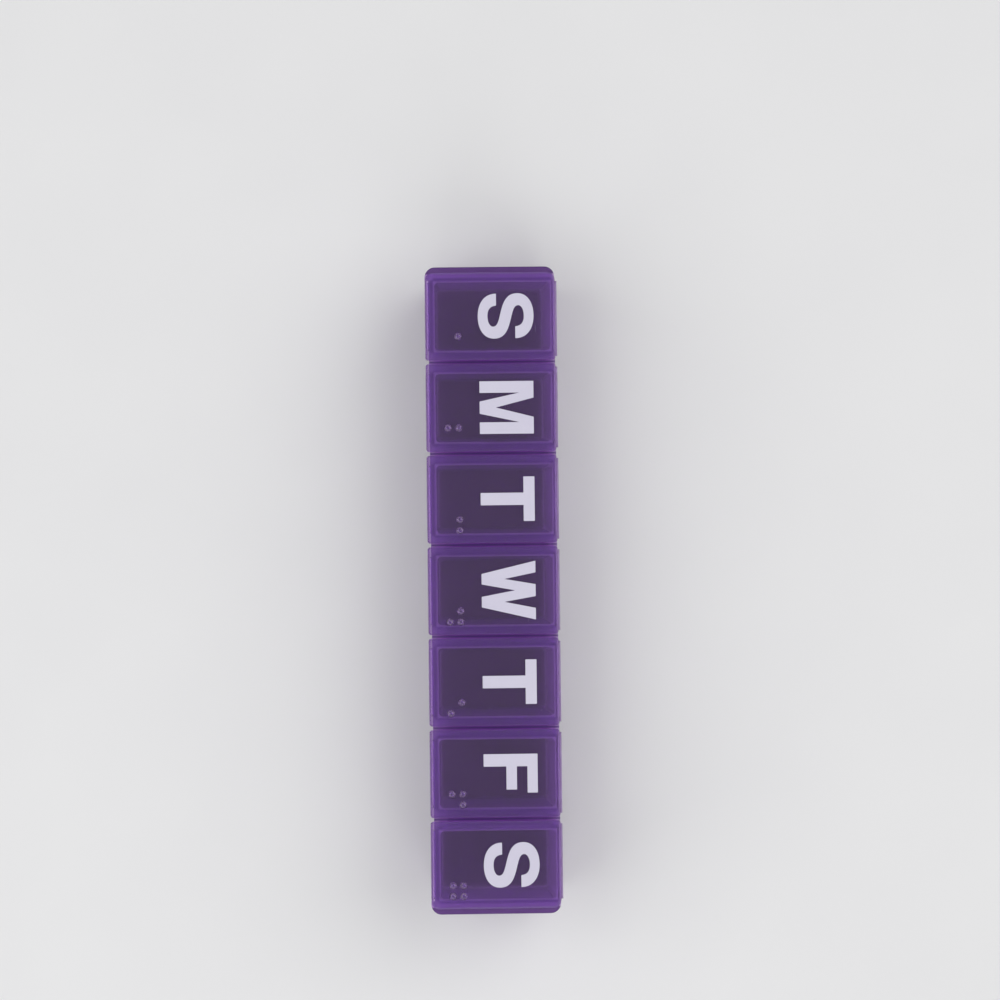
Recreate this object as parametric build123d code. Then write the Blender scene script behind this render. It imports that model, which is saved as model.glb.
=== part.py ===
"""Weekly pill organizer: seven drafted cups under one flange, each with a snap lid on a living hinge.

X runs along the row, -Y is the opening side, +Y the hinge side, +Z is up.
The origin is the middle of the ground that the organizer covers.
"""

import os
from math import radians, tan

from build123d import *

DAYS = ["sunday", "monday", "tuesday", "wednesday", "thursday", "friday", "saturday"]

# The cups' insides, and the space between two cups
mouth_length = 13.25
mouth_width = 22.4
draft_angle = 2.3
cup_gap = 2.65

# The tray: cups, the flange (deck) they hang from, and the tie walls between them
tray_height = 20.7
wall = 0.9
floor_thickness = 1.2
foot_round = 1.2
well_corner = 0.8
well_bevel = 0.4
mouth_bevel = 0.2
deck_thickness = 1.2
deck_ledge = 0.25
deck_end = 2.05
deck_corner = 2.0
pad_clearance = 0.4
deck_edge_round = 0.3
tie_inset = 1.5
tie_lift = 1.8

# The lids
lid_gap = 0.75
lid_thickness = 1.2
lid_corner = 0.5
row_end_corner = 1.6
lid_bevel = 0.35
seat_gap = 0.1

# The catch lip along the front of each lid, which snaps under the deck's ledge
lip_margin = 1.9
lip_thickness = 0.5
lip_clearance = 0.2
lip_end_round = 0.3
catch_hook = 0.15
catch_clearance = 0.1
catch_land = 0.25
catch_lead_in = 0.55

# The living hinge, folded shut
web_thickness = 0.25
fold_inner_radius = 0.17
web_end_gap = 0.15

# Levels
deck_under = tray_height - deck_thickness
lid_under = tray_height + seat_gap
fold_level = tray_height + seat_gap / 2
catch_top = deck_under - catch_clearance
lip_bottom = catch_top - catch_land - catch_lead_in

# Plan sizes
draft_slope = tan(radians(draft_angle))
cup_length = mouth_length + 2 * wall
cup_width = mouth_width + 2 * wall
cell_pitch = cup_length + cup_gap
row_length = (len(DAYS) - 1) * cell_pitch
deck_length = row_length + cup_length + 2 * deck_end
deck_width = cup_width + deck_ledge
lid_length = cell_pitch - lid_gap
lip_length = lid_length - 2 * lip_margin
lip_reach = lip_clearance + lip_thickness
fold_outer_radius = fold_inner_radius + web_thickness

# Lines across the row, from the lip's front face to the back of the hinge fold, centred on Y = 0
lip_front = -(lip_reach + deck_width + fold_outer_radius) / 2
deck_front = lip_front + lip_reach
deck_rear = deck_front + deck_width
cup_centre = deck_rear - cup_width / 2

cell_centres = [(day - (len(DAYS) - 1) / 2) * cell_pitch for day in range(len(DAYS))]


def drafted_block(length, width, top, depth):
    """Block whose four sides lean in toward the bottom by the draft."""
    return Pos(Z=top) * Rot(X=180) * extrude(Rectangle(length, width), depth, taper=draft_angle)


def make_cup():
    """Outside of one cup, with its upright and lowest edges rounded alike."""
    cup = drafted_block(cup_length, cup_width, deck_under, deck_under)
    rim = cup.faces().sort_by(Axis.Z)[-1]
    return fillet(cup.edges() - rim.edges(), foot_round)


def make_well():
    """Inside of one cup, with round corners and a bevelled edge round its floor."""
    well = drafted_block(mouth_length, mouth_width, tray_height, tray_height - floor_thickness)
    levels = well.faces().filter_by(Axis.Z).sort_by(Axis.Z)
    well = fillet(well.edges() - levels[0].edges() - levels[-1].edges(), well_corner)
    return chamfer(well.faces().sort_by(Axis.Z)[0].edges(), well_bevel)


def make_tie_wall(side):
    """Drafted wall, set back from the cup faces, that joins all cups on one side of the row."""
    top_face = side * (cup_width / 2 - tie_inset)
    bottom_face = top_face - side * (deck_under - tie_lift) * draft_slope
    section = Polyline(
        (top_face, deck_under),
        (top_face - side * wall, deck_under),
        (bottom_face - side * wall, tie_lift),
        (bottom_face, tie_lift),
        close=True,
    )
    return Pos(Y=cup_centre) * extrude(Plane.YZ * make_face(section), row_length / 2, both=True)


def make_deck():
    """Flange with rounded ends, as wide there as the lids; its long top edges stay sharp under them."""
    pad_start = (row_length + lip_length) / 2 + pad_clearance
    pad_length = deck_length / 2 - pad_start
    outline = Pos(Y=(deck_front + deck_rear) / 2) * Rectangle(deck_length, deck_width)
    for end in (-1, 1):
        pad_centre = end * (pad_start + pad_length / 2)
        outline += Pos(pad_centre, deck_front - lip_reach / 2) * Rectangle(pad_length, lip_reach)
    corners = outline.vertices().group_by(Axis.X)
    outline = fillet(corners[0] + corners[-1], deck_corner)
    deck = extrude(Pos(Z=deck_under) * outline, deck_thickness)
    top_edges = deck.faces().sort_by(Axis.Z)[-1].edges()
    end_edges = [edge for edge in top_edges if abs(edge.center().X) > pad_start + pad_length / 2]
    return fillet(end_edges, deck_edge_round)


def make_tray():
    """Deck, tie walls and cups in one moulding, with the wells cut last."""
    cup = make_cup()
    well = make_well()
    tray = make_deck() + make_tie_wall(1) + make_tie_wall(-1)
    tray += [Pos(centre, cup_centre) * cup for centre in cell_centres]
    tray -= [Pos(centre, cup_centre) * well for centre in cell_centres]
    top_face = tray.faces().filter_by(Axis.Z).sort_by(Axis.Z)[-1]
    return chamfer(top_face.inner_wires().edges(), mouth_bevel)


def make_lid(start_corner, end_corner):
    """Flat plate with bevelled upper edges and a catch lip hung from its front edge."""
    outline = Pos(Y=(deck_rear + lip_front) / 2) * Rectangle(lid_length, deck_rear - lip_front)
    outline = fillet(outline.vertices().group_by(Axis.X)[0], start_corner)
    outline = fillet(outline.vertices().group_by(Axis.X)[-1], end_corner)
    plate = extrude(Pos(Z=lid_under) * outline, lid_thickness)
    plate = chamfer(plate.faces().sort_by(Axis.Z)[-1].edges(), lid_bevel)

    lip_root = lid_under + lid_thickness / 2
    lip_inner = lip_front + lip_thickness
    catch_tip = deck_front + catch_hook
    section = Polyline(
        (lip_front, lip_root),
        (lip_inner, lip_root),
        (lip_inner, catch_top),
        (catch_tip, catch_top),
        (catch_tip, catch_top - catch_land),
        (lip_inner, lip_bottom),
        (lip_front, lip_bottom),
        close=True,
    )
    lip = extrude(Plane.YZ * make_face(section), lip_length / 2, both=True)
    lip_ends = lip.faces().sort_by(Axis.Y)[0].edges().filter_by(Axis.Z)
    return plate + fillet(lip_ends, lip_end_round)


def make_hinge(start_corner, end_corner):
    """Half-round fold of thin web from the deck's rear face up to the straight of the lid's rear edge."""
    fold = Circle(fold_outer_radius) - Circle(fold_inner_radius)
    fold &= Pos(X=fold_outer_radius) * Rectangle(2 * fold_outer_radius, 2 * fold_outer_radius)
    web_start = -lid_length / 2 + start_corner + web_end_gap
    web_end = lid_length / 2 - end_corner - web_end_gap
    section = Plane.YZ.offset(web_start) * Pos(deck_rear, fold_level) * fold
    return extrude(section, web_end - web_start)


os.makedirs("parts", exist_ok=True)
export_step(make_tray(), "parts/tray.step")
for day, centre in zip(DAYS, cell_centres):
    start_corner = row_end_corner if day == DAYS[0] else lid_corner
    end_corner = row_end_corner if day == DAYS[-1] else lid_corner
    export_step(Pos(X=centre) * make_lid(start_corner, end_corner), f"parts/lid_{day}.step")
    export_step(Pos(X=centre) * make_hinge(start_corner, end_corner), f"parts/hinge_{day}.step")
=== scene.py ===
import math

import bmesh
import bpy
from mathutils import Matrix, Vector


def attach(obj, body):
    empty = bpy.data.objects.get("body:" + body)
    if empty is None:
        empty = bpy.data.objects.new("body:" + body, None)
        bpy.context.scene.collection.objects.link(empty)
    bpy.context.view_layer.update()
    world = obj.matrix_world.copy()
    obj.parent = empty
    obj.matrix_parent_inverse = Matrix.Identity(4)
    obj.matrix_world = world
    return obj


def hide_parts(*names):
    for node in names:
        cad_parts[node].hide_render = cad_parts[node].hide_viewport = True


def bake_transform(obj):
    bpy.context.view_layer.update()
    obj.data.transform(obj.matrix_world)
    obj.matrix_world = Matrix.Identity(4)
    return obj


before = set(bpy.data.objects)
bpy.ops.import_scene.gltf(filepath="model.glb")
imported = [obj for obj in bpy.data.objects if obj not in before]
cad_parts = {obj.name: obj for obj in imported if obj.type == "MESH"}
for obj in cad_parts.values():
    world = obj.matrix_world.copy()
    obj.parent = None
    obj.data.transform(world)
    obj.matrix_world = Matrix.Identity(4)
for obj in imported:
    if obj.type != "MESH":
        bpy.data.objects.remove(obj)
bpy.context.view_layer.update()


# The tray: seven deep cups hanging from one flat flange, moulded in a single shot of clear
# violet polypropylene. The cups stand on the table and carry everything else.

MM = 0.001
cell_pitch = 17.7 * MM
cup_middle = 0.265 * MM
mouth_half_length, mouth_half_width = 13.25 / 2 * MM, 22.4 / 2 * MM
half_wall = 0.45 * MM
draft_slope = math.tan(math.radians(2.3))
floor_level = 1.2 * MM
floor_skin = 0.1 * MM
floor_corner = 1.0 * MM
tray_height = 20.7 * MM
seat_depth = 0.3 * MM
turn_over = 0.55 * MM
bare_start = 8.4 * MM
row_end_start = 61.3 * MM
outer_band = mouth_half_width - 0.2 * MM, mouth_half_width + 0.8 * MM
clear_violet, deep_clear_violet = (0.58, 0.38, 0.74), (0.54, 0.34, 0.71)
# The cup floors are deeper violet: partly the thicker plastic there, partly painted shade at the bottom
# of the cups.
floor_violet_and_painted_shade = (0.42, 0.30, 0.52)
milky_violet, deep_milky_violet = (0.40, 0.084, 0.74), (0.36, 0.072, 0.69)
# Painted light: the next three colours paint highlights on the flange's edges, the inner walls and the
# mouth's rim, whitest on the hinge side.
painted_light_violet = (0.86, 0.72, 0.97)
painted_mouth_highlight = (0.88, 0.76, 0.97)
painted_hinge_side_glint = (0.97, 0.92, 0.99)
# Painted shade: these two colours darken the bare strips between the lids and the ends of the row.
painted_gap_shade = (0.07, 0.022, 0.19)
painted_row_end_shade = (0.09, 0.027, 0.19)
plastic_ior = 1.49
ripple_depth = 0.02 * MM
cloud_scale, ripple_scale, grain_scale, worn_scale = 90.0, 420.0, 5200.0, 160.0


class Wire:
    """A socket in a material. Sums and products of wires and numbers add the Math nodes they need."""

    def __init__(self, tree, socket=None):
        self.tree, self.socket = tree, socket

    def node(self, kind, settings=None, sockets=None, out=0):
        node = self.tree.nodes.new(kind)
        for name, value in (settings or {}).items():
            setattr(node, name, value)
        for name, value in (sockets or {}).items():
            if isinstance(value, Wire):
                self.tree.links.new(value.socket, node.inputs[name])
            else:
                node.inputs[name].default_value = value
        return Wire(self.tree, node.outputs[out] if node.outputs else None)

    def maths(self, operation, first, second):
        return self.node("ShaderNodeMath", {"operation": operation}, {0: first, 1: second})

    def __add__(self, other):
        return self.maths("ADD", self, other)

    def __sub__(self, other):
        return self.maths("SUBTRACT", self, other)

    def __rsub__(self, other):
        return self.maths("SUBTRACT", other, self)

    def __mul__(self, other):
        return self.maths("MULTIPLY", self, other)

    def __pow__(self, other):
        return self.maths("POWER", self, other)

    def __lt__(self, other):
        return self.maths("LESS_THAN", self, other)

    def __gt__(self, other):
        return self.maths("GREATER_THAN", self, other)

    def __abs__(self):
        return self.maths("ABSOLUTE", self, 0.0)

    __radd__ = __add__
    __rmul__ = __mul__


def start_finish(name):
    """An empty material, ready for its nodes."""
    finish = bpy.data.materials.new(name)
    finish.use_nodes = True
    finish.node_tree.nodes.clear()
    return finish, Wire(finish.node_tree)


def object_place(wire):
    """Where a point of the piece lies in the shared frame, with the part at rest."""
    return wire.node("ShaderNodeTexCoord", out="Object")


def along(wire, place, axis):
    return wire.node("ShaderNodeSeparateXYZ", None, {"Vector": place}, out=axis)


def smooth_step(wire, value, start, end):
    return wire.node("ShaderNodeMapRange", {"interpolation_type": "SMOOTHSTEP"},
                     {"Value": value, "From Min": start, "From Max": end})


def blend_colours(wire, share, first, second):
    """A mix of two colours, each of them a wire or three numbers."""
    first, second = (c if isinstance(c, Wire) else (*c, 1.0) for c in (first, second))
    return wire.node("ShaderNodeMix", {"data_type": "RGBA"}, {0: share, 6: first, 7: second}, out=2)


def noise(wire, place, scale, detail=2.0):
    """Soft blots, as many to the metre as the scale says."""
    return wire.node("ShaderNodeTexNoise", {"noise_dimensions": "3D"},
                     {"Vector": place, "Scale": scale, "Detail": detail}, out="Fac")


def scuffs(wire, place, turn, run, spacing, sharpness):
    """Thin lines that all lie one way, as wear leaves on a face and bending on a fold."""
    turned = wire.node("ShaderNodeMapping", {"vector_type": "POINT"},
                       {"Vector": place, "Rotation": (0.0, 0.0, math.radians(turn)),
                        "Scale": (1.0 / run, 1.0 / spacing, 1.0 / run)})
    return noise(wire, turned, 1.0, detail=1.0) ** sharpness


def cloudy(wire, place, tint, deep_tint):
    """The violet as it comes out of the mould, a little deeper in some places than in others."""
    return blend_colours(wire, noise(wire, place, cloud_scale, detail=3.0), tint, deep_tint)


def moulded_skin(wire, place, colour, clear, roughness, shine=0.5):
    """Plastic that is faintly rippled and crossed by hairline scuffs."""
    ripple = noise(wire, place, ripple_scale, detail=1.0)
    grain = noise(wire, place, grain_scale)
    worn = noise(wire, place, worn_scale)
    hairlines = worn * (scuffs(wire, place, turn=24.0, run=5 * MM, spacing=0.14 * MM, sharpness=14.0)
                        + scuffs(wire, place, turn=-53.0, run=7 * MM, spacing=0.12 * MM, sharpness=16.0)
                        + scuffs(wire, place, turn=88.0, run=6 * MM, spacing=0.12 * MM, sharpness=16.0))
    relief = wire.node("ShaderNodeBump", None,
                       {"Strength": 0.3, "Distance": ripple_depth,
                        "Height": ripple + 0.05 * grain - 2.0 * hairlines}, out="Normal")
    return wire.node("ShaderNodeBsdfPrincipled", None,
                     {"Base Color": colour, "Normal": relief,
                      "Roughness": roughness + 0.06 * ripple + 0.03 * grain + 4.0 * hairlines,
                      "Transmission Weight": clear, "IOR": plastic_ior,
                      "Specular IOR Level": shine}, out="BSDF")


def tray_violet():
    """Polished outside; the insides of the cups and the seats of the lids are satin and look milkier.

    The violet is painted palest on the mouth's rim as a highlight, and paler on the inner walls and
    along the outer edges of the flange as painted light, in all three most of all on the hinge side.
    It is painted deepest, as shade, in the bare strips between the lids and at the ends of the row.
    The cup floors are deeper too: partly the thicker plastic, partly painted shade.
    """
    finish, wire = start_finish("tray_violet")
    place = object_place(wire)
    x, y, z = (along(wire, place, axis) for axis in "XYZ")
    off_cell = wire.maths("PINGPONG", x, cell_pitch / 2)
    off_row = abs(y - cup_middle)
    lean = (tray_height - z) * draft_slope
    rear = y > cup_middle
    top = z > tray_height - seat_depth
    # The row's ends and the bare strips between the lids are the masks for painted shade.
    ends = top * (abs(x) > row_end_start)
    bare = top * (1 - ends) * smooth_step(wire, off_cell, bare_start, cell_pitch / 2)
    outer = top * smooth_step(wire, off_row, *outer_band)
    inside = ((off_cell + lean < mouth_half_length + half_wall)
              * (off_row + lean < mouth_half_width + half_wall)
              * (z > floor_level + floor_corner) * (1 - top))
    rear_wall = inside * rear * (off_row + lean > mouth_half_width - half_wall)
    past_end = smooth_step(wire, off_cell, mouth_half_length, mouth_half_length + turn_over)
    past_side = smooth_step(wire, off_row, mouth_half_width, mouth_half_width + turn_over)
    mouth = top * (1 - past_end) * (1 - past_side)
    hinge_side_mouth = mouth * rear * (off_row > mouth_half_width)

    # Painted light: paler violet along the flange's outer edges and on the inner walls, more on the
    # hinge side, where the rear wall is painted as if lit from behind.
    painted_light_share = wire.maths("MAXIMUM", outer * (0.3 + 0.4 * rear), 0.5 * inside + 0.5 * rear_wall)
    milky = cloudy(wire, place, milky_violet, deep_milky_violet)
    # The loop mixes in the painted highlight on the mouth's rim, whitest on the hinge side, and the
    # painted shade between the lids and at the row's ends.
    for share, colour in ((painted_light_share, painted_light_violet), (mouth, painted_mouth_highlight),
                          (hinge_side_mouth, painted_hinge_side_glint),
                          (bare, painted_gap_shade), (ends, painted_row_end_shade)):
        milky = blend_colours(wire, share, milky, colour)
    tint = cloudy(wire, place, clear_violet, deep_clear_violet)
    # Painted shade, in part: the cup floors are tinted deeper, partly for the thicker plastic.
    tint = blend_colours(wire, z < floor_level + floor_skin, tint, floor_violet_and_painted_shade)
    milkiness = wire.maths("MAXIMUM", 0.75 * inside + 0.25 * rear_wall,
                           0.6 * top + 0.4 * mouth + 0.3 * bare + 0.3 * ends)
    clear = moulded_skin(wire, place, tint, clear=0.97, roughness=0.07)
    satin = moulded_skin(wire, place, milky, clear=0.3, roughness=0.6, shine=0.2)
    skin = wire.node("ShaderNodeMixShader", None, {0: milkiness, 1: clear, 2: satin})
    wire.node("ShaderNodeOutputMaterial", None, {"Surface": skin})
    return finish


def dress(node_name, finish):
    for slot in bpy.data.objects[node_name].material_slots:
        slot.material = finish


dress("tray", tray_violet())


# The lids: seven flat plates of the same plastic, one over each cup. Each has a thin lip along
# its front edge, which snaps under the flange and doubles as the thumb edge.

DAYS = ["sunday", "monday", "tuesday", "wednesday", "thursday", "friday", "saturday"]
lid_centres = {day: (number - 3) * cell_pitch for number, day in enumerate(DAYS)}
lid_top = 22.0 * MM
lid_front, lid_rear = -12.785 * MM, 12.365 * MM
lid_half_length = 8.475 * MM
lid_bevel = 0.35 * MM
lid_clear_violet, deep_lid_clear_violet = (0.62, 0.41, 0.84), (0.58, 0.375, 0.81)
# The bevels' milky violet paints light along the lid's edges.
painted_lid_edge_light, deep_painted_lid_edge_light = (0.40, 0.23, 0.58), (0.36, 0.20, 0.54)


def lid_violet(name, roughness):
    """Clear through its faces. The bevelled edges are mixed towards a milky violet that paints light
    along them, above all the front and rear ones.
    """
    finish, wire = start_finish(name)
    place = object_place(wire)
    x, y = (along(wire, place, axis) for axis in "XY")
    edge = (y < lid_front + lid_bevel) + (y > lid_rear - lid_bevel)
    end = wire.maths("PINGPONG", x, cell_pitch / 2) > lid_half_length - lid_bevel
    # Painted edge light: the bevels mix towards the milky violet, most on the front and rear ones.
    milkiness = wire.maths("MAXIMUM", 0.5 * edge, 0.22 * end)
    tint = cloudy(wire, place, lid_clear_violet, deep_lid_clear_violet)
    milky = cloudy(wire, place, painted_lid_edge_light, deep_painted_lid_edge_light)
    clear = moulded_skin(wire, place, tint, clear=0.95, roughness=roughness)
    edges = moulded_skin(wire, place, milky, clear=0.3, roughness=roughness)
    skin = wire.node("ShaderNodeMixShader", None, {0: milkiness, 1: clear, 2: edges})
    wire.node("ShaderNodeOutputMaterial", None, {"Surface": skin})
    return finish


lid_finish = lid_violet("lid_violet", roughness=0.05)
for day in DAYS:
    dress("lid_" + day, lid_finish)


# The hinge webs: a strip of the same plastic along the rear of each lid, moulded thin enough to
# fold. Folding whitens it, so it shows as a pale line between tray and lid.

web_root = lid_rear
fold_level = 20.75 * MM
fold_radius = 0.295 * MM
web_thickness = 0.25 * MM
fold_thinning = 0.18
web_end_gap = 0.15 * MM
lid_corner, row_end_corner = 0.5 * MM, 1.6 * MM
web_half = lid_half_length - lid_corner - web_end_gap
row_end_trim = row_end_corner - lid_corner
root_gap = 0.01 * MM
fold_violet, whitened_violet = (0.40, 0.24, 0.58), (0.56, 0.42, 0.70)


def add_piece(name, mesh_maker, finish, smooth=True):
    """A new piece made from a bmesh that the given function fills."""
    shape = bmesh.new()
    mesh_maker(shape)
    bmesh.ops.recalc_face_normals(shape, faces=shape.faces)
    mesh = bpy.data.meshes.new(name)
    shape.to_mesh(mesh)
    shape.free()
    if smooth:
        mesh.shade_smooth()
    mesh.materials.append(finish)
    piece = bpy.data.objects.new(name, mesh)
    bpy.context.scene.collection.objects.link(piece)
    return piece


def folded_web(left, right):
    """The web shut: a half round that leaves the flange's rear edge and comes back into the lid's.

    It is thickest at its two roots and thinnest at the middle of the fold.
    """
    folds, runs = 18, 24

    def fill(shape):
        rings = []
        for step in range(runs + 1):
            x = left + (right - left) * step / runs
            inner, outer = [], []
            for fold in range(folds + 1):
                turn = math.pi * (fold / folds - 0.5)
                thick = web_thickness * (1 - fold_thinning * math.cos(turn) ** 2)
                for side, rim in ((-0.5, inner), (0.5, outer)):
                    radius = fold_radius + side * thick
                    rim.append(shape.verts.new((x, web_root + root_gap + radius * math.cos(turn),
                                                fold_level + radius * math.sin(turn))))
            rings.append(outer + inner[::-1])
        around = len(rings[0])
        for before, after in zip(rings, rings[1:]):
            for here in range(around):
                there = (here + 1) % around
                shape.faces.new((before[here], before[there], after[there], after[here]))
        for end in (rings[0], rings[-1]):
            for fold in range(folds):
                shape.faces.new((end[fold], end[fold + 1],
                                 end[around - 2 - fold], end[around - 1 - fold]))
    return fill


def whitened_web():
    """Violet gone milky where it folds, with paler stress lines along the fold."""
    finish, wire = start_finish("hinge_violet")
    place = object_place(wire)
    streak = scuffs(wire, place, turn=0.0, run=6 * MM, spacing=0.2 * MM, sharpness=1.0)
    colour = blend_colours(wire, streak, fold_violet, whitened_violet)
    relief = wire.node("ShaderNodeBump", None,
                       {"Strength": 0.3, "Distance": ripple_depth, "Height": streak}, out="Normal")
    skin = wire.node("ShaderNodeBsdfPrincipled", None,
                     {"Base Color": colour, "Roughness": 0.18 + 0.2 * streak, "Normal": relief,
                      "Transmission Weight": 0.45, "IOR": plastic_ior}, out="BSDF")
    wire.node("ShaderNodeOutputMaterial", None, {"Surface": skin})
    return finish


hinge_finish = whitened_web()
for day, centre in lid_centres.items():
    left = centre - web_half + (row_end_trim if day == DAYS[0] else 0.0)
    right = centre + web_half - (row_end_trim if day == DAYS[-1] else 0.0)
    web = add_piece("web_" + day, folded_web(left, right), hinge_finish)
    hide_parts("hinge_" + day)
    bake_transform(web)


# The day initials: one bold white letter pad-printed on each lid, the flat film of ink standing
# a few hundredths of a millimetre above the plastic. The outlines are drawn in cap heights.

cap_height = 10.45 * MM
letter_middle = 2.8 * MM
ink_gap = 0.02 * MM
ink_thickness = 0.03 * MM
ink_ior = 1.45
coat_scale, speck_scale = 260.0, 2600.0
speck_depth = 0.01 * MM
full_ink, thin_ink = (0.69, 0.665, 0.79), (0.62, 0.59, 0.73)
letter_t = [(0.0, 0.794), (0.0, 1.0), (0.825, 1.0), (0.825, 0.794), (0.527, 0.794), (0.527, 0.0),
            (0.298, 0.0), (0.298, 0.794)]
letter_f = [(0.0, 0.0), (0.0, 1.0), (0.72, 1.0), (0.72, 0.81), (0.231, 0.81), (0.231, 0.615),
            (0.66, 0.615), (0.66, 0.42), (0.231, 0.42), (0.231, 0.0)]
letter_m = [(0.0, 0.0), (0.0, 1.0), (0.31, 1.0), (0.4875, 0.30), (0.665, 1.0), (0.975, 1.0),
            (0.975, 0.0), (0.76, 0.0), (0.76, 0.735), (0.60, 0.0), (0.375, 0.0), (0.215, 0.735),
            (0.215, 0.0)]
letter_w = [(0.0, 1.0), (0.216, 1.0), (0.333, 0.42), (0.434, 1.0), (0.656, 1.0), (0.757, 0.42),
            (0.874, 1.0), (1.09, 1.0), (0.854, 0.0), (0.66, 0.0), (0.545, 0.618), (0.43, 0.0),
            (0.236, 0.0)]
s_curves = [((0.0, 0.33), (0.0, 0.12), (0.165, 0.0), (0.405, 0.0)),
            ((0.405, 0.0), (0.645, 0.0), (0.805, 0.11), (0.805, 0.29)),
            ((0.805, 0.29), (0.805, 0.46), (0.69, 0.53), (0.50, 0.58)),
            ((0.50, 0.58), (0.33, 0.625), (0.21, 0.64), (0.21, 0.725)),
            ((0.21, 0.725), (0.21, 0.785), (0.29, 0.825), (0.40, 0.825)),
            ((0.40, 0.825), (0.51, 0.825), (0.58, 0.78), (0.585, 0.67))]
s_across, s_up = 0.4, 0.5
round_overshoot = 1.035


def curve_points(curve, count=10):
    points = []
    for step in range(count):
        t = step / count
        weights = ((1 - t) ** 3, 3 * t * (1 - t) ** 2, 3 * t * t * (1 - t), t ** 3)
        points.append(tuple(sum(weight * point[axis] for weight, point in zip(weights, curve))
                            for axis in (0, 1)))
    return points


half_s = [point for curve in s_curves for point in curve_points(curve)] + [s_curves[-1][-1]]
whole_s = half_s + [(2 * s_across - across, 2 * s_up - up) for across, up in half_s]
letter_s = [(s_across + (across - s_across) * round_overshoot, s_up + (up - s_up) * round_overshoot)
            for across, up in whole_s]
initials = dict(zip(DAYS, (letter_s, letter_m, letter_t, letter_w, letter_t, letter_f, letter_s)))


def printed_letter(outline, centre):
    """A flat film of ink in the letter's outline, in the middle of the lid's length."""
    def fill(shape):
        lowest, highest = min(across for across, up in outline), max(across for across, up in outline)
        ring = [shape.verts.new((centre + (across - (lowest + highest) / 2) * cap_height,
                                 letter_middle + (up - 0.5) * cap_height, lid_top + ink_gap))
                for across, up in outline]
        edges = [shape.edges.new((here, there)) for here, there in zip(ring, ring[1:] + ring[:1])]
        bmesh.ops.triangle_fill(shape, use_beauty=True, use_dissolve=False, edges=edges)
        raised = bmesh.ops.extrude_face_region(shape, geom=shape.faces[:])
        for corner in raised["geom"]:
            if isinstance(corner, bmesh.types.BMVert):
                corner.co.z += ink_thickness
    return fill


def white_ink():
    """Opaque white ink: slightly uneven in its coat, finely speckled, with a satin skin."""
    finish, wire = start_finish("white_ink")
    place = object_place(wire)
    coat = noise(wire, place, coat_scale, detail=3.0)
    speck = noise(wire, place, speck_scale)
    colour = blend_colours(wire, 0.6 * coat + 0.4 * speck, full_ink, thin_ink)
    relief = wire.node("ShaderNodeBump", None,
                       {"Strength": 0.25, "Distance": speck_depth, "Height": speck}, out="Normal")
    skin = wire.node("ShaderNodeBsdfPrincipled", None,
                     {"Base Color": colour, "Roughness": 0.36 + 0.2 * speck, "Normal": relief,
                      "IOR": ink_ior}, out="BSDF")
    wire.node("ShaderNodeOutputMaterial", None, {"Surface": skin})
    return finish


ink_finish = white_ink()
for day, centre in lid_centres.items():
    letter = add_piece("initial_" + day, printed_letter(initials[day], centre), ink_finish,
                       smooth=False)
    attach(letter, "lid_" + day)


# The raised dots: the number of the day in touch script, small domes moulded with the lid near its
# front edge, so that the days can be told by finger. Places 1 and 2 of a sign run down its left
# side, 4 and 5 down its right.

dot_base = 1.45 * MM
dot_height = 0.5 * MM
dot_gap = 0.01 * MM
dot_places = {1: (3.9 * MM, -6.5 * MM), 2: (3.9 * MM, -8.6 * MM),
              4: (6.0 * MM, -6.5 * MM), 5: (6.0 * MM, -8.6 * MM)}
dots_by_day = dict(zip(DAYS, ((1,), (1, 2), (1, 4), (1, 4, 5), (1, 5), (1, 2, 4), (1, 2, 4, 5))))


def raised_dots(centre, dots):
    """Low domes, each the cap of a ball, closed by a flat face on the lid."""
    around, rings = 36, 10
    ball = (dot_base ** 2 / 4 + dot_height ** 2) / (2 * dot_height)
    rim_turn = math.asin(dot_base / 2 / ball)
    crown_level = lid_top + dot_gap + dot_height
    spokes = [2 * math.pi * side / around for side in range(around)]

    def fill(shape):
        for dot in dots:
            x, y = centre + dot_places[dot][0], dot_places[dot][1]
            bowls = []
            for ring in range(rings):
                turn = rim_turn * (1 - ring / rings)
                radius = ball * math.sin(turn)
                level = crown_level - ball * (1 - math.cos(turn))
                bowls.append([shape.verts.new((x + radius * math.cos(spoke),
                                               y + radius * math.sin(spoke), level))
                              for spoke in spokes])
            crown = shape.verts.new((x, y, crown_level))
            for below, above in zip(bowls, bowls[1:]):
                for side in range(around):
                    next_side = (side + 1) % around
                    shape.faces.new((below[side], below[next_side], above[next_side], above[side]))
            for side in range(around):
                shape.faces.new((bowls[-1][side], bowls[-1][(side + 1) % around], crown))
            shape.faces.new(bowls[0][::-1]).smooth = False
    return fill


dot_finish = lid_violet("dot_violet", roughness=0.15)
for day, centre in lid_centres.items():
    dots = add_piece("dots_" + day, raised_dots(centre, dots_by_day[day]), dot_finish)
    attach(dots, "lid_" + day)


# The setting: a plain pale table and an even sky, with three large soft lamps set high: one
# behind the hinges, one in front and one past the row's last end.

table_half = 3.0
table_level = -0.05 * MM
mottle_scale = 30.0
table_white, bright_table_white = (0.80, 0.80, 0.81), (0.84, 0.84, 0.845)
sky_strength = 0.35
lamp_aim = Vector((0.0, 0.0, 0.02))


def table_top(shape):
    corners = [(-table_half, -table_half), (table_half, -table_half),
               (table_half, table_half), (-table_half, table_half)]
    shape.faces.new([shape.verts.new((x, y, table_level)) for x, y in corners])


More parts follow.
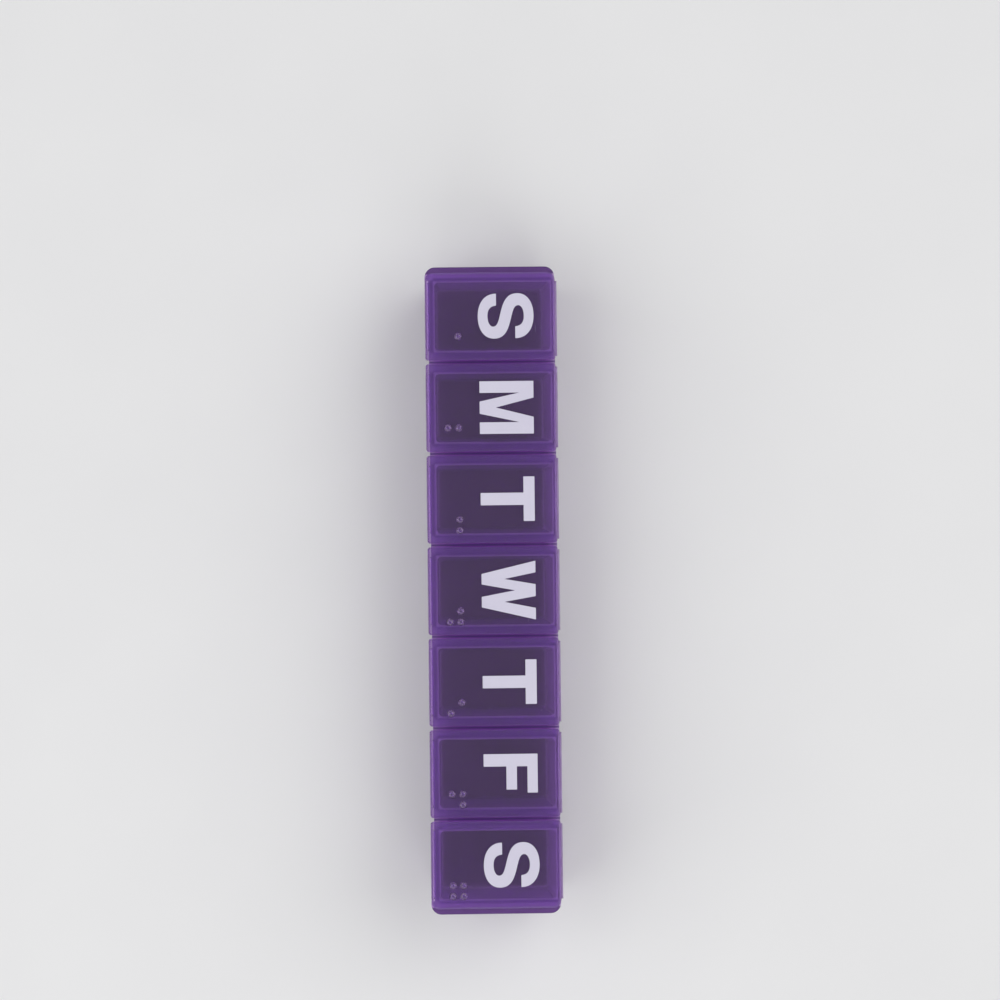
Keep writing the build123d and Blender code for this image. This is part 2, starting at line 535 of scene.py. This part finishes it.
def matt_table():
    finish, wire = start_finish("pale_table")
    mottle = noise(wire, object_place(wire), mottle_scale)
    colour = blend_colours(wire, mottle, table_white, bright_table_white)
    skin = wire.node("ShaderNodeBsdfPrincipled", None,
                     {"Base Color": colour, "Roughness": 0.8, "Specular IOR Level": 0.2}, out="BSDF")
    wire.node("ShaderNodeOutputMaterial", None, {"Surface": skin})
    return finish


table = add_piece("table", table_top, matt_table(), smooth=False)

scene = bpy.context.scene
scene.view_settings.view_transform = "Standard"
sky = bpy.data.worlds.new("even_sky")
sky.use_nodes = True
sky_light = sky.node_tree.nodes["Background"]
sky_light.inputs["Color"].default_value = (1.0, 1.0, 1.0, 1.0)
sky_light.inputs["Strength"].default_value = sky_strength
scene.world = sky


def soft_lamp(name, place, width, power):
    lamp = bpy.data.lights.new(name, "AREA")
    lamp.shape, lamp.size, lamp.energy = "SQUARE", width, power
    stand = bpy.data.objects.new(name, lamp)
    scene.collection.objects.link(stand)
    stand.location = place
    stand.rotation_euler = (lamp_aim - Vector(place)).to_track_quat("-Z", "Y").to_euler()


soft_lamp("hinge_side_lamp", place=(-0.3, 0.65, 0.75), width=1.1, power=4.7)
soft_lamp("front_lamp", place=(0.1, -0.7, 0.7), width=1.0, power=4.4)
soft_lamp("row_end_lamp", place=(0.8, 0.1, 0.65), width=0.8, power=2.6)


# The camera: high above the lids and leaning a little to the front, with the row running down the
# picture and the hinges at the right.

view_width = 193.45 * MM
view_middle = Vector((-17.5 * MM, 1.32 * MM, lid_top))
view_distance = 1.0
view_lean = math.radians(2.0)
view_roll = math.radians(0.64)
back = Vector((0.0, -math.sin(view_lean), math.cos(view_lean)))
right = Vector((math.sin(view_roll), math.cos(view_roll), 0.0))
right = (right - back * right.dot(back)).normalized()
up = back.cross(right)
lens = bpy.data.cameras.new("camera")
lens.sensor_width = 36.0
lens.lens = lens.sensor_width * view_distance / view_width
camera = bpy.data.objects.new("camera", lens)
scene.collection.objects.link(camera)
turn = Matrix((right, up, back)).transposed().to_4x4()
camera.matrix_world = Matrix.Translation(view_middle + back * view_distance) @ turn
scene.camera = camera
